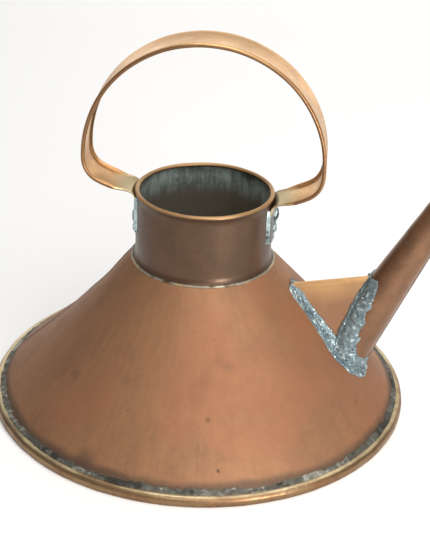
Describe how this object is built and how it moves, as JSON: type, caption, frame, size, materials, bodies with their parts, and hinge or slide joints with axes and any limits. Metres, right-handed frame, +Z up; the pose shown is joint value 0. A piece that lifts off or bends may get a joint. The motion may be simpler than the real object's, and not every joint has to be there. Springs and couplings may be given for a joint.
{
  "type": "watering can",
  "caption": "Conical copper watering can with a short wired neck, a hooped strap handle over the mouth and a straight tapering spout braced by a soldered gusset.",
  "frame": {"origin": "centre of the flat underside, on the ground that the can stands on", "axes": "+Z up along the cone's axis; +X towards the spout"},
  "size_m": [0.3738, 0.32, 0.2843],
  "materials": {
    "copper": "patinated copper sheet",
    "brass_band": "worn brass, brown patina with bright edges",
    "solder": "lumpy tin and lead solder, blue grey, dulled",
    "neck_copper": "brown patinated copper sheet",
    "wire": "drawn iron wire",
    "handle_copper": "worn copper sheet, polished by hands",
    "lip_brass": "worn brass wire"
  },
  "bodies": {
    "root": {"base_plate": "copper", "foot_band": "brass_band", "foot_solder": "solder", "body_cone": "copper", "cone_seam": "solder", "neck_collar": "neck_copper", "neck_rim_wire": "wire", "neck_solder": "solder", "neck_seam": "solder", "handle_strap": "handle_copper", "handle_wire_front": "wire", "handle_wire_back": "wire", "handle_solder_right": "solder", "handle_solder_left": "solder", "spout_tube": "copper", "spout_lip": "lip_brass", "spout_seam": "solder", "spout_gusset": "copper", "solder_gusset_cone": "solder", "solder_gusset_spout": "solder", "solder_spout_cone": "solder"}
  },
  "joints": []
}
